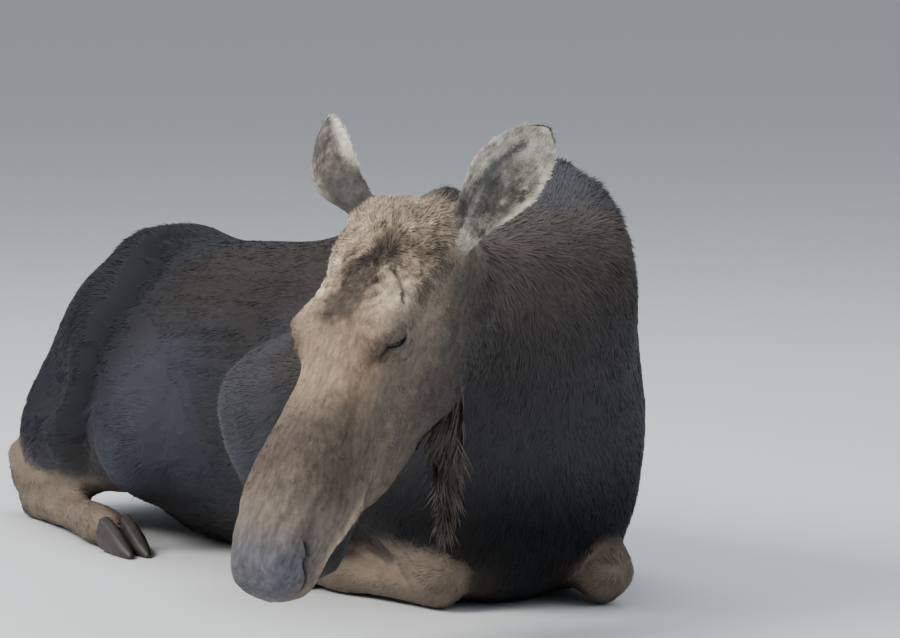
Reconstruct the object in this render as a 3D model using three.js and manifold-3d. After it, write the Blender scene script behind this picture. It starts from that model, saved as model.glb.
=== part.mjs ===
// A moose lying on its breast with the legs folded under it, life size, in millimetres.
// +X runs forward along the back, +Y to the animal's left, +Z up; it lies on Z = 0.
import * as THREE from 'three';
import { mergeVertices } from 'three/addons/utils/BufferGeometryUtils.js';
import Module from 'manifold-3d';

const wasm = await Module();
wasm.setup();

// ---- driving dimensions (mm, degrees) ----
const GAP = 0.3;                   // clear gap where two pieces meet
const BACK_HEIGHT = 556;           // top of the loin over the floor
const WITHERS_HEIGHT = 752;        // top of the hump over the floor
const TRUNK_HALF_WIDTH = 285;
const BREAST_X = 650;              // front of the breast
const RUMP_X = -930;               // back of the buttocks
const TRUNK_LEAN = 12;             // the trunk leans to the animal's left

const HEAD_LENGTH = 720;           // crown of the head to the end of the muzzle
const HEAD_CROWN = [733, -350, 738];
const HEAD_TURN = -66.4;           // the face looks to the animal's right
const HEAD_DROP = 28.2;            // the face leans this far off the vertical
const HEAD_ROLL = 2;
const MUZZLE_HALF_WIDTH = 59;
const ORBIT_HALF_WIDTH = 110;
const EYEBALL_RADIUS = 19;
const NOSTRIL_RADII = [24, 15, 13];
const EAR_HALF_WIDTH = 65;
const EAR_WALL = 12;

const SHIN_LEVEL = 36;             // the cannons lie this high along the floor
const CLAW_LENGTH = 118;
const CLAW_WIDTH = 40;
const CLAW_HEIGHT = 70;
const CLAW_SPREAD = 21;            // half the distance between the two claws of a foot
const BELL_LENGTH = 250;

const TRUNK_CELL = 76;             // facet sizes of the solids
const NECK_CELL = 52;
const HEAD_CELL = 32;

// ---- small tools ----
const rad = THREE.MathUtils.degToRad;
const V = (x, y, z) => new THREE.Vector3(x, y, z);

function profile(xs, ys) {
  // A smooth curve through named stations.
  const slope = xs.map((_, i) => {
    const a = Math.max(i - 1, 0), b = Math.min(i + 1, xs.length - 1);
    return (ys[b] - ys[a]) / (xs[b] - xs[a]);
  });
  return (x) => {
    if (x <= xs[0]) return ys[0];
    if (x >= xs[xs.length - 1]) return ys[xs.length - 1];
    let i = 0;
    while (x > xs[i + 1]) i += 1;
    const h = xs[i + 1] - xs[i], t = (x - xs[i]) / h;
    return ys[i] * (1 + 2 * t) * (1 - t) ** 2 + slope[i] * h * t * (1 - t) ** 2
      + ys[i + 1] * t * t * (3 - 2 * t) + slope[i + 1] * h * t * t * (t - 1);
  };
}

// ---- fields: each is a function of a point, below zero inside the flesh ----
function ellipsoid(centre, radii, turn = null) {
  const c = V(...centre), r = V(...radii);
  const back = turn ? turn.clone().invert() : null;
  const p = V(0, 0, 0);
  return (q) => {
    p.copy(q).sub(c);
    if (back) p.applyQuaternion(back);
    const k0 = Math.hypot(p.x / r.x, p.y / r.y, p.z / r.z);
    const k1 = Math.hypot(p.x / r.x ** 2, p.y / r.y ** 2, p.z / r.z ** 2);
    return k1 < 1e-9 ? -Math.min(r.x, r.y, r.z) : k0 * (k0 - 1) / k1;
  };
}

function limb(from, to, rFrom, rTo) {
  // A round length of leg or neck that tapers between two joints.
  const a = V(...from), ab = V(...to).sub(a), p = V(0, 0, 0);
  const l2 = ab.lengthSq();
  return (q) => {
    p.copy(q).sub(a);
    const t = THREE.MathUtils.clamp(p.dot(ab) / l2, 0, 1);
    return p.addScaledVector(ab, -t).length() - THREE.MathUtils.lerp(rFrom, rTo, t);
  };
}

const smoothMin = (a, b, k) => {
  const h = Math.max(k - Math.abs(a - b), 0) / k;
  return Math.min(a, b) - h * h * k / 4;
};
const smoothMax = (a, b, k) => -smoothMin(-a, -b, k);
const blend = (k, ...fields) => (q) => fields.reduce((d, f) => smoothMin(d, f(q), k), 1e4);

// ---- surfaces from fields ----
function eachCell(n, visit) {
  for (let k = 0; k < n[2]; k += 1) {
    for (let j = 0; j < n[1]; j += 1) {
      for (let i = 0; i < n[0]; i += 1) visit(i, j, k);
    }
  }
}

// The surface where a field is zero, on a grid of cells from one corner of a box to the other.
function surface(field, low, high, cell) {
  const n = [0, 1, 2].map((i) => Math.ceil((high[i] - low[i]) / cell) + 1);
  const at = (i, j, k) => i + n[0] * (j + n[1] * k);
  const value = new Float64Array(n[0] * n[1] * n[2]);
  const q = V(0, 0, 0);
  eachCell(n, (i, j, k) => {
    const d = field(q.set(low[0] + i * cell, low[1] + j * cell, low[2] + k * cell));
    const rim = !i || !j || !k || i === n[0] - 1 || j === n[1] - 1 || k === n[2] - 1;
    value[at(i, j, k)] = rim ? Math.max(d, cell / 2) : d;
  });
  const inner = n.map((m) => m - 1);
  // Where two corners only touch across a square, fill the shallower of the empty ones.
  for (let again = true; again;) {
    again = false;
    eachCell(inner, (i, j, k) => {
      for (const [u, w] of [[[1, 0, 0], [0, 1, 0]], [[0, 1, 0], [0, 0, 1]], [[1, 0, 0], [0, 0, 1]]]) {
        const c = [at(i, j, k), at(i + u[0], j + u[1], k + u[2]),
          at(i + u[0] + w[0], j + u[1] + w[1], k + u[2] + w[2]), at(i + w[0], j + w[1], k + w[2])];
        const full = c.map((m) => value[m] < 0);
        if (full[0] !== full[2] || full[1] !== full[3] || full[0] === full[1]) continue;
        const [e, f] = full[0] ? [c[1], c[3]] : [c[0], c[2]];
        value[value[e] < value[f] ? e : f] = -cell * 0.05;
        again = true;
      }
    });
  }
  const corners = [0, 1, 2, 3, 4, 5, 6, 7];
  const edges = corners.flatMap((a) => [1, 2, 4].filter((bit) => !(a & bit)).map((bit) => [a, a | bit]));
  const vertex = new Int32Array(value.length).fill(-1);
  const points = [];
  eachCell(inner, (i, j, k) => {
    const corner = (c) => value[at(i + (c & 1), j + ((c >> 1) & 1), k + (c >> 2))];
    const sum = V(0, 0, 0);
    let count = 0;
    for (const [a, b] of edges) {
      const va = corner(a), vb = corner(b);
      if ((va < 0) === (vb < 0)) continue;
      const t = va / (va - vb);
      sum.add(V(a & 1, (a >> 1) & 1, a >> 2).lerp(V(b & 1, (b >> 1) & 1, b >> 2), t));
      count += 1;
    }
    if (!count) return;
    vertex[at(i, j, k)] = points.length;
    points.push(sum.divideScalar(count).add(V(i, j, k)).multiplyScalar(cell).add(V(...low)));
  });
  const faces = [];
  eachCell(inner, (i, j, k) => {
    const inside = value[at(i, j, k)] < 0;
    const around = [
      [value[at(i + 1, j, k)], [i, j - 1, k - 1], [i, j, k - 1], [i, j, k], [i, j - 1, k]],
      [value[at(i, j + 1, k)], [i - 1, j, k - 1], [i - 1, j, k], [i, j, k], [i, j, k - 1]],
      [value[at(i, j, k + 1)], [i - 1, j - 1, k], [i, j - 1, k], [i, j, k], [i - 1, j, k]],
    ];
    for (const [other, ...cells] of around) {
      if (inside === (other < 0)) continue;
      const [a, b, c, d] = cells.map((m) => vertex[at(...m)]);
      const short = points[a].distanceTo(points[c]) < points[b].distanceTo(points[d]);
      const two = short ? [[a, b, c], [a, c, d]] : [[a, b, d], [b, c, d]];
      for (const f of two) faces.push(inside ? f : [f[0], f[2], f[1]]);
    }
  });
  // Settle each point onto the field's own surface.
  const slope = V(0, 0, 0), h = cell * 0.05;
  const limit = cell * 0.45;
  for (const p of points) {
    for (let pass = 0; pass < 3; pass += 1) {
      const d = field(p);
      slope.set(
        field(q.set(p.x + h, p.y, p.z)) - field(q.set(p.x - h, p.y, p.z)),
        field(q.set(p.x, p.y + h, p.z)) - field(q.set(p.x, p.y - h, p.z)),
        field(q.set(p.x, p.y, p.z + h)) - field(q.set(p.x, p.y, p.z - h)),
      ).divideScalar(2 * h);
      const steep = Math.max(slope.lengthSq(), 0.2);
      p.addScaledVector(slope, -THREE.MathUtils.clamp(d / steep, -limit / 3, limit / 3));
    }
  }
  return meshOf(points, faces);
}

function meshOf(points, faces) {
  const g = new THREE.BufferGeometry();
  g.setAttribute('position', new THREE.Float32BufferAttribute(points.flatMap((p) => p.toArray()), 3));
  g.setIndex(faces.flat());
  return g;
}

// Rings of points, all of one count, skinned end to end and capped.
function skinned(rings) {
  const points = rings.flat(), m = rings[0].length, faces = [];
  for (let r = 0; r < rings.length - 1; r += 1) for (let i = 0; i < m; i += 1) {
    const j = (i + 1) % m;
    const a = r * m + i, b = r * m + j;
    faces.push([a, b, b + m], [a, b + m, a + m]);
  }
  for (const [r, flip] of [[0, true], [rings.length - 1, false]]) {
    const centre = rings[r].reduce((s, p) => s.add(p), V(0, 0, 0)).divideScalar(m);
    points.push(centre);
    for (let i = 0; i < m; i += 1) {
      const f = [r * m + i, r * m + (i + 1) % m, points.length - 1];
      faces.push(flip ? [f[1], f[0], f[2]] : f);
    }
  }
  return meshOf(points, faces);
}

function swollen(geometry, by) {
  const g = geometry.clone();
  g.computeVertexNormals();
  const p = g.attributes.position, m = g.attributes.normal;
  for (let i = 0; i < p.count; i += 1) {
    p.setXYZ(i, p.getX(i) + m.getX(i) * by, p.getY(i) + m.getY(i) * by, p.getZ(i) + m.getZ(i) * by);
  }
  return g;
}

function solid(geometry) {
  const bare = geometry.clone();
  bare.deleteAttribute('normal');
  bare.deleteAttribute('uv');
  const g = mergeVertices(bare, 1e-3);
  return new wasm.Manifold(new wasm.Mesh({
    numProp: 3,
    vertProperties: new Float32Array(g.attributes.position.array),
    triVerts: new Uint32Array(g.index.array),
  }));
}

function side(point, normal) {
  // Everything on the side of a plane that its normal points away from.
  const reach = 6000;
  const g = new THREE.BoxGeometry(reach, reach, reach);
  g.translate(0, 0, -reach / 2);
  g.applyQuaternion(new THREE.Quaternion().setFromUnitVectors(V(0, 0, 1), normal.clone().normalize()));
  g.translate(point.x, point.y, point.z);
  return solid(g);
}

function geometryOf(made) {
  const m = made.getMesh();
  const g = new THREE.BufferGeometry();
  const xyz = new Float32Array(m.vertProperties.length / m.numProp * 3);
  for (let i = 0; i < xyz.length / 3; i += 1) {
    for (let c = 0; c < 3; c += 1) xyz[i * 3 + c] = m.vertProperties[i * m.numProp + c];
  }
  g.setAttribute('position', new THREE.BufferAttribute(xyz, 3));
  g.setIndex([...m.triVerts]);
  g.computeVertexNormals();
  return g;
}

// ---- the head's own frame: s down the face from the crown, v out of the face, u to its left ----
const turnZ = rad(HEAD_TURN), drop = rad(HEAD_DROP);
const facing = V(Math.cos(turnZ), Math.sin(turnZ), 0);
const headS = facing.clone().multiplyScalar(Math.sin(drop)).add(V(0, 0, -Math.cos(drop)));
const headV0 = facing.clone().multiplyScalar(Math.cos(drop)).add(V(0, 0, Math.sin(drop)));
const headU0 = V(-facing.y, facing.x, 0);
const headU = headU0.clone().applyAxisAngle(headS, rad(HEAD_ROLL));
const headV = headV0.clone().applyAxisAngle(headS, rad(HEAD_ROLL));
const headTurn = new THREE.Quaternion().setFromRotationMatrix(
  new THREE.Matrix4().makeBasis(headS, headV, headU.clone().negate()));
const crown = V(...HEAD_CROWN);
const onHead = (s, v, u) => crown.clone()
  .addScaledVector(headS, s).addScaledVector(headV, v).addScaledVector(headU, u);
const headBump = (s, v, u, radii) => ellipsoid(onHead(s, v, u).toArray(), radii, headTurn);

// ---- trunk, neck ----
const lean = new THREE.Quaternion().setFromAxisAngle(V(1, 0, 0), rad(-TRUNK_LEAN));
const halfLean = new THREE.Quaternion().setFromAxisAngle(V(1, 0, 0), rad(-TRUNK_LEAN / 2));
const trunkField = blend(110,
  ellipsoid([110, 8, 289], [520, TRUNK_HALF_WIDTH - 5, 306], lean),                  // ribs
  ellipsoid([-330, -5, BACK_HEIGHT - 296], [480, TRUNK_HALF_WIDTH, 294], halfLean),  // belly and loin
  ellipsoid([-662, 3, BACK_HEIGHT - 222], [164, 170, 190], halfLean),                // croup
  ellipsoid([-699, -49, BACK_HEIGHT - 64], [64, 90, 62], halfLean),                  // hips
  ellipsoid([RUMP_X + 215, 8, 222], [135, 165, 170]),                                // buttocks
  ellipsoid([BREAST_X - 190, 10, 225], [195, 200, 240], lean),                       // breast
);
const humpField = blend(90,
  ellipsoid([412, 98, WITHERS_HEIGHT - 215], [264, 94, 222], lean),
  ellipsoid([150, 70, WITHERS_HEIGHT - 310], [260, 115, 190], lean),
);
const shoulderField = blend(70,
  ellipsoid([380, -150, 380], [190, 110, 230], lean),                                // right blade
  ellipsoid([400, 158, 250], [190, 100, 215]),                                       // left blade
);
const neckField = blend(60,
  limb([450, 18, 490], [600, -110, 538], 176, 165),
  limb([600, -110, 538], [690, -245, 580], 165, 98),
);

// ---- legs: the upper length of each is part of the trunk's own flesh, the rest folds under it ----
const legPoints = {
  foreleg_right: { shoulder: [405, -190, 380], elbow: [186, -262, 318], knee: [505, -140, 60],
    fetlock: [290, -196, 38], foot: [216, -214, 36] },
  foreleg_left: { shoulder: [430, 162, 340], elbow: [290, 222, 205], knee: [600, 125, 60],
    fetlock: [385, 178, 38], foot: [310, 190, 36] },
  hindleg_right: { hip: [-635, -125, 345], stifle: [-315, -256, 192], hock: [-770, -278, 66],
    heel: [-852, -276, 108], fetlock: [-440, -330, 38], foot: [-360, -335, 36] },
  hindleg_left: { hip: [-635, 125, 345], stifle: [-315, 245, 192], hock: [-770, 268, 66],
    heel: [-852, 266, 108], fetlock: [-440, 318, 38], foot: [-360, 322, 36] },
};
const upperLegField = blend(46, ...Object.values(legPoints).flatMap((p) => (p.elbow
  ? [limb(p.shoulder, p.elbow, 122, 118), limb(p.elbow, [p.elbow[0] + 40, p.elbow[1], 165], 118, 84)]
  : [limb(p.hip, p.stifle, 160, 122),
    limb([p.hip[0] - 85, p.hip[1], p.hip[2]], [p.heel[0] + 20, p.heel[1], p.heel[2] + 36], 130, 54),
    limb(mid(p.stifle, p.hock, 0.5, 55), mid(p.stifle, p.hock, 0.9, 66), 96, 62)])));

// A round-ended length of leg through its joints. `more` swells it all over, and `level`
// is the direction that its rings keep upward.
function limbTube(joints, radii, more, level = V(0, 0, 1)) {
  const curve = new THREE.CatmullRomCurve3(joints.map((j) => V(...j)), false, 'centripetal');
  const steps = 2 * (joints.length - 1), sides = 8;
  const radiusAt = profile(radii.map((_, i) => i / (radii.length - 1)), radii);
  const spots = [];
  for (let i = 0; i <= steps; i += 1) {
    const t = i / steps;
    spots.push([curve.getPoint(t), radiusAt(t) + more, curve.getTangent(t)]);
  }
  const round = (spot, way) => [62, 30].map((deg) => {
    const [p, r, along] = spot;
    return [p.clone().addScaledVector(along, way * r * Math.cos(rad(deg))), r * Math.sin(rad(deg)), along];
  });
  const all = [...round(spots[0], -1).reverse(), ...spots, ...round(spots[steps], 1)];
  return skinned(all.map(([p, r, along]) => {
    const right = along.clone().cross(level).normalize(), up = right.clone().cross(along);
    return Array.from({ length: sides }, (_, m) => {
      const phi = 2 * Math.PI * m / sides;
      return p.clone().addScaledVector(right, -r * Math.cos(phi)).addScaledVector(up, r * Math.sin(phi));
    });
  }));
}
function lowerLeg(p, more = 0) {
  const under = (j, dx) => [j[0] + dx, j[1], SHIN_LEVEL];
  const cannon = (bend, back) => [
    under(bend, -back), mid(under(bend, 0), p.fetlock, 0.5, 1), p.fetlock, p.foot];
  const parts = p.elbow
    ? [limbTube([p.elbow, mid(p.elbow, p.knee, 0.5, 14), p.knee], [96, 74, 50, 55], more),
      limbTube(cannon(p.knee, 8), [40, 37, 36, 42, 33], more)]
    : [limbTube([p.stifle, mid(p.stifle, p.hock, 0.5, 10), p.hock, p.heel], [98, 74, 52, 56, 40], more),
      limbTube(cannon(p.hock, 10), [48, 40, 38, 43, 34], more)];
  return solid(parts[0]).add(solid(parts[1]));
}
function mid(a, b, t, lift) {
  return [0, 1, 2].map((i) => a[i] + (b[i] - a[i]) * t + (i === 2 ? lift : 0));
}

// ---- head ----
const stations = [-20, 60, 150, 230, 290, 345, 420, 500, 570, 630, 680, HEAD_LENGTH];
const topOf = profile(stations, [-8, 20, 42, 52, 58, 62, 76, 90, 93, 87, 79, 68]);
const underOf = profile(stations, [-110, -150, -200, -226, -220, -202, -168, -116, -84, -64, -52, -42]);
const pinchOf = profile(stations, [0.22, 0.26, 0.26, 0.12, 0, 0.04, 0.1, 0.16, 0.16, 0.1, 0, 0]);
const wideOf = profile(stations, [100, 118, 113, 102, 92, 87, 86, 92, 91, 75, MUZZLE_HALF_WIDTH, 57]);
const SQUARE = 2.5;                // the head's cross section is a rounded square
const local = V(0, 0, 0);
const intoHead = headTurn.clone().invert();
function skullField(q) {
  local.copy(q).sub(crown).applyQuaternion(intoHead);
  const s = local.x, top = topOf(s), under = underOf(s);
  const b = (top - under) / 2, dv = local.y - (top + under) / 2;
  const a = wideOf(s) * (1 - pinchOf(s) * THREE.MathUtils.smoothstep(-dv / b, -0.1, 0.9));
  const reach = (Math.abs(local.z / a) ** SQUARE + Math.abs(dv / b) ** SQUARE) ** (1 / SQUARE);
  const radial = reach < 0.3 ? -0.7 * Math.min(a, b) : Math.hypot(local.z, dv) * (1 - 1 / reach);
  return smoothMax(smoothMax(radial, s - HEAD_LENGTH, 72), -20 - s, 110);
}
const bothSides = (s, v, u, radii) => [1, -1].map((m) => headBump(s, v, u * m, radii));
const headField = blend(34,
  skullField,
  ...bothSides(252, 20, ORBIT_HALF_WIDTH - 43, [54, 36, 40]),      // orbits
  ...bothSides(240, -112, 72, [115, 82, 42]),                      // cheeks
  ...bothSides(195, -178, 50, [70, 52, 36]),                       // angles of the jaw
  ...bothSides(645, 36, MUZZLE_HALF_WIDTH - 20, [56, 36, 28]),     // nostril wings
  headBump(592, -74, 0, [56, 37, 47]),                             // chin
  headBump(385, -132, 0, [130, 40, 44]),                           // jaw
  headBump(34, -24, 0, [28, 30, 60]),                              // hair of the poll
  headBump(14, -42, 72, [40, 32, 28]),                             // root of the left ear
  headBump(34, -46, -66, [32, 28, 26]),                            // root of the right ear
);
const bodyField = (q) => smoothMin(
  smoothMin(smoothMin(trunkField(q), humpField(q), 130), shoulderField(q), 90), neckField(q), 150);

// ---- ears: a cupped leaf on a short tube, hollow towards the way it listens ----
const EAR_STEPS = 11, EAR_ARC = 6;
function ear(root, tip, listens) {
  const up = tip.clone().sub(root), length = up.length();
  up.normalize();
  const open = listens.clone().addScaledVector(up, -listens.dot(up)).normalize();
  const across = new THREE.Vector3().crossVectors(up, open);
  const halfWidth = profile([0, 0.14, 0.3, 0.5, 0.7, 0.86, 0.96, 1],
    [0.46, 0.56, 0.8, 1, 0.88, 0.6, 0.3, 0.09].map((k) => k * EAR_HALF_WIDTH));
  const cup = profile([0, 0.2, 0.5, 0.8, 1], [30, 44, 36, 20, 4]);
  const rings = [];
  for (let i = 0; i <= EAR_STEPS; i += 1) {
    const t = i / EAR_STEPS, w = halfWidth(t), deep = cup(t);
    const wall = Math.min(EAR_WALL, w * 0.5, deep * 0.55 + 1);
    const hollow = THREE.MathUtils.smoothstep(t, 0.02, 0.3);
    const centre = root.clone().addScaledVector(up, t * length)
      .addScaledVector(open, -24 * Math.sin(Math.PI * t));
    const arc = (half, bulge, sign) => Array.from({ length: EAR_ARC }, (_, m) => {
      const phi = Math.PI * (m / (EAR_ARC - 1) - 0.5) * sign;
      return centre.clone()
        .addScaledVector(across, half * Math.sin(phi)).addScaledVector(open, -bulge * Math.cos(phi));
    });
    const back = arc(w, deep, 1);
    const front = arc(w - wall * 0.6, THREE.MathUtils.lerp(-deep * 0.7, deep - wall, hollow), -1)
      .map((p) => p.addScaledVector(open, wall * 0.35));
    rings.push([...back, ...front].reverse());
  }
  return skinned(rings);
}

// ---- a claw: a narrow pointed half hoof, lower towards its toe ----
function claw(heel, toe) {
  const along = toe.clone().sub(heel).normalize();
  const right = V(0, 0, 1).cross(along).normalize();
  const up = along.clone().cross(right);
  const steps = 4, sides = 7;
  const rings = [];
  for (let i = 0; i <= steps; i += 1) {
    const t = i / steps;
    const w = CLAW_WIDTH / 2 * Math.sqrt(1 - 0.92 * t ** 2.4);
    const h = CLAW_HEIGHT * (1 - 0.8 * t ** 1.3);
    rings.push(Array.from({ length: sides }, (_, m) => {
      const phi = Math.PI * 2 * (m + 0.5) / sides;
      return heel.clone().lerp(toe, t).addScaledVector(right, w * Math.cos(phi))
        .addScaledVector(up, h * (0.5 + 0.5 * Math.sin(phi)) - CLAW_HEIGHT / 2);
    }));
  }
  return skinned(rings);
}

// ---- cutting planes ----
const neckEnd = onHead(75, -165, 0);
const neckWay = onHead(130, -60, 0).sub(onHead(40, -260, 0)).normalize();
const neckRoot = V(560, -40, 520);
const neckRootWay = V(0.5, -0.6, 0.6).normalize();
const mouth = onHead(545, -42, 0);
const mouthWay = headV.clone().addScaledVector(headS, -0.27).normalize();
const lipFront = onHead(662, 0, 0);
const floorCut = side(V(0, 0, 0), V(0, 0, -1));
const half = (p, w, by) => side(p.clone().addScaledVector(w, by), w);

// ---- the named pieces ----
const nodes = new THREE.Group();
nodes.name = 'moose';
function add(name, made, colour, roughness) {
  const material = new THREE.MeshStandardMaterial({ color: colour, roughness, metalness: 0 });
  material.name = name;
  const mesh = new THREE.Mesh(geometryOf(made), material);
  mesh.name = name;
  nodes.add(mesh);
}

const biggest = (made) => made.decompose().sort((a, b) => b.volume() - a.volume())[0];
const headAndNeck = (q) => smoothMin(neckField(q), headField(q), 60);
const bodyAndHead = (q) => smoothMin(bodyField(q), headField(q), 60);
const bodyAndLegs = (q) => smoothMin(bodyField(q), upperLegField(q), 46);

// ---- trunk and legs ----
const whole = solid(surface(bodyAndLegs, [-1150, -480, -90], [950, 480, 900], TRUNK_CELL))
  .intersect(floorCut);
let trunk = whole.intersect(half(neckRoot, neckRootWay, -GAP / 2));
for (const [name, p] of Object.entries(legPoints)) {
  const way = V(...p.foot).sub(V(...p.fetlock)).setZ(0).normalize();
  const across = V(-way.y, way.x, 0);
  let leg = lowerLeg(p).intersect(floorCut);
  trunk = trunk.subtract(lowerLeg(p, GAP));
  for (const [which, m] of [['outer', 1], ['inner', -1]]) {
    const heel = V(...p.foot).addScaledVector(way, 12).addScaledVector(across, m * CLAW_SPREAD).setZ(33);
    const toe = heel.clone().addScaledVector(way, CLAW_LENGTH).addScaledVector(across, -m * 5).setZ(30);
    const horn = claw(heel, toe);
    const room = solid(swollen(horn, GAP * 2));
    leg = leg.subtract(room);
    trunk = trunk.subtract(room);
    add(`claw_${name}_${which}`, solid(horn).intersect(floorCut), '#2b2723', 0.6);
  }
  add(name, biggest(leg), '#5b5148', 0.9);
}
trunk = biggest(trunk);
add('trunk', trunk, '#2b2624', 0.9);

// ---- neck and head ----
const neckStock = solid(surface(bodyAndHead, [250, -420, 150], [1000, 420, 900], NECK_CELL));
const headStock = solid(surface(headAndNeck, [420, -830, 30], [1080, -50, 860], HEAD_CELL));
const neck = biggest(neckStock.intersect(half(neckRoot, neckRootWay.clone().negate(), -GAP / 2))
  .intersect(half(neckEnd, neckWay, -GAP / 2)));
add('neck', neck, '#3b322c', 0.9);
let skull = biggest(headStock.intersect(half(neckEnd, neckWay.clone().negate(), -GAP / 2)));

// nostrils, dents in the sides of the muzzle
for (const m of [1, -1]) {
  const g = new THREE.SphereGeometry(1, 8, 6);
  g.scale(...NOSTRIL_RADII);
  g.applyQuaternion(headTurn);
  const at = onHead(652, 27, m * (MUZZLE_HALF_WIDTH + 9));
  g.translate(at.x, at.y, at.z);
  skull = skull.subtract(solid(g));
}

// eyes, set in the orbits so that only the front of each ball stands clear
for (const [name, m] of [['eye_left', 1], ['eye_right', -1]]) {
  const at = onHead(267, 13, m * (ORBIT_HALF_WIDTH - 21));
  const ballOf = (r) => {
    const g = new THREE.SphereGeometry(r, 10, 7);
    g.translate(at.x, at.y, at.z);
    return solid(g);
  };
  skull = skull.subtract(ballOf(EYEBALL_RADIUS + GAP));
  add(name, ballOf(EYEBALL_RADIUS), '#15100d', 0.2);
}

// lower jaw, divided from the skull along the line of the lips
const underLips = (gap) => half(mouth, mouthWay, gap).intersect(half(lipFront, headS, gap));
const jaw = skull.intersect(underLips(-GAP / 2));
const upperHead = skull.subtract(underLips(GAP / 2));
add('head', biggest(upperHead), '#8d7a69', 0.9);
add('lower_jaw', biggest(jaw), '#6f6156', 0.9);

// tail, a short flap against the rump, and the bell that hangs from the throat
const clearOf = (made) => solid(swollen(geometryOf(made), GAP));
const tail = limbTube([[RUMP_X + 135, 6, 400], [RUMP_X + 80, 6, 352], [RUMP_X + 58, 6, 282]],
  [34, 30, 15], 0, V(0, 1, 0));
add('tail', biggest(solid(tail).subtract(clearOf(trunk))), '#2c2724', 0.95);
const bellTop = onHead(196, -212, 22);
const bell = limbTube([[0, 0, 20], [4, -3, -BELL_LENGTH / 2], [2, -6, -BELL_LENGTH]]
  .map((j) => V(...j).add(bellTop).toArray()), [36, 30, 15], 0, V(0, 1, 0));
const headRoom = clearOf(headStock);
add('bell', biggest(solid(bell).subtract(headRoom).subtract(clearOf(neckStock))), '#5d5148', 0.95);

// ears
const ears = {
  ear_right: ear(onHead(28, -22, -66), onHead(-146, -60, -256), V(-0.4, 0.91, 0.1)),
  ear_left: ear(onHead(62, -50, 106), onHead(-126, 2, 264), V(0.9, -0.36, 0.05)),
};
for (const [name, g] of Object.entries(ears)) {
  add(name, biggest(solid(g).subtract(headRoom)), '#857a70', 0.95);
}

// The origin is the middle of the outline on the floor.
const outline = new THREE.Box3().setFromObject(nodes);
const middle = outline.getCenter(V(0, 0, 0)).setZ(0);
for (const node of nodes.children) node.geometry.translate(-middle.x, -middle.y, 0);

export default nodes;
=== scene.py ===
import math

import bmesh
import bpy
import numpy as np
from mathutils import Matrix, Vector
from mathutils.bvhtree import BVHTree


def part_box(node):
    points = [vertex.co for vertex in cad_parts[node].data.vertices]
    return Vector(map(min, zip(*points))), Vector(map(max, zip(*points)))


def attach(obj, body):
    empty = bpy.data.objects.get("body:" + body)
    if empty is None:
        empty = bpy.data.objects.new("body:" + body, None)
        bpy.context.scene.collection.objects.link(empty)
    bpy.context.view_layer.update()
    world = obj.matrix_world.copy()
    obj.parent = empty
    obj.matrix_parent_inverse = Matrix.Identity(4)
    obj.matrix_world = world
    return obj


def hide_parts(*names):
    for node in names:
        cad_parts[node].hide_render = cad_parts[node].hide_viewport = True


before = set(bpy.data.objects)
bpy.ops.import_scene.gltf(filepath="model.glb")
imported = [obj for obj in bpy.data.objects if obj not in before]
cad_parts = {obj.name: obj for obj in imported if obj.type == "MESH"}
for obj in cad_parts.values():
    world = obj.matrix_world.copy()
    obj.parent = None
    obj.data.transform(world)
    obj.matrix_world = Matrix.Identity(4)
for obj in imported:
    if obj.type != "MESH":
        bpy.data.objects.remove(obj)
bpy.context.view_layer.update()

# ---- Standpoint ----
# The model is seen from its right front, a long way off and just above its back.
# The camera stands that far from the middle of the body and looks a little down.
view_turn = math.radians(60.0)
view_drop = math.radians(6.44)
view_distance, view_height, view_aside = 8.87, 1.44, 0.144
body_middle = Vector((-0.0325, 0.1772, 0.0))
away = Vector((math.sin(view_turn), -math.cos(view_turn), 0.0))
sideways = Vector((math.cos(view_turn), math.sin(view_turn), 0.0))

camera = bpy.data.objects.new("standpoint", bpy.data.cameras.new("standpoint"))
camera.data.sensor_width = 36.0
camera.data.lens = 200.0
camera.data.clip_end = 200.0
camera.location = body_middle + away * view_distance + sideways * view_aside + Vector((0, 0, view_height))
camera.rotation_euler = (math.pi / 2 - view_drop, 0.0, view_turn)
bpy.context.scene.collection.objects.link(camera)
bpy.context.scene.camera = camera

# ---- Floor and daylight ----
# A plain pale floor, and the soft light of an overcast day: a wide sky, a broad bright
# side from the left and above, and a weaker one from the right.
floor_colour = (0.62, 0.63, 0.65, 1.0)
floor_mesh = bpy.data.meshes.new("floor")
floor_mesh.from_pydata([(-90, -90, 0), (90, -90, 0), (90, 90, 0), (-90, 90, 0)], [], [(0, 1, 2, 3)])
floor = bpy.data.objects.new("floor", floor_mesh)
bpy.context.scene.collection.objects.link(floor)
floor_paint = bpy.data.materials.new("floor_paint")
floor_paint.use_nodes = True
floor_paint.node_tree.nodes["Principled BSDF"].inputs["Base Color"].default_value = floor_colour
floor_paint.node_tree.nodes["Principled BSDF"].inputs["Roughness"].default_value = 0.9
floor_mesh.materials.append(floor_paint)

sky = bpy.data.worlds.new("sky")
sky.use_nodes = True
sky.node_tree.nodes["Background"].inputs["Color"].default_value = (0.86, 0.93, 1.0, 1.0)
sky.node_tree.nodes["Background"].inputs["Strength"].default_value = 0.5
bpy.context.scene.world = sky


def lamp(name, direction, distance, size, watts, colour):
    data = bpy.data.lights.new(name, "AREA")
    data.size = size
    data.energy = watts
    data.color = colour
    lit = bpy.data.objects.new(name, data)
    lit.location = Vector((0.1, 0.0, 0.4)) + Vector(direction).normalized() * distance
    lit.rotation_euler = (-Vector(direction)).to_track_quat("-Z", "Y").to_euler()
    bpy.context.scene.collection.objects.link(lit)


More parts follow.
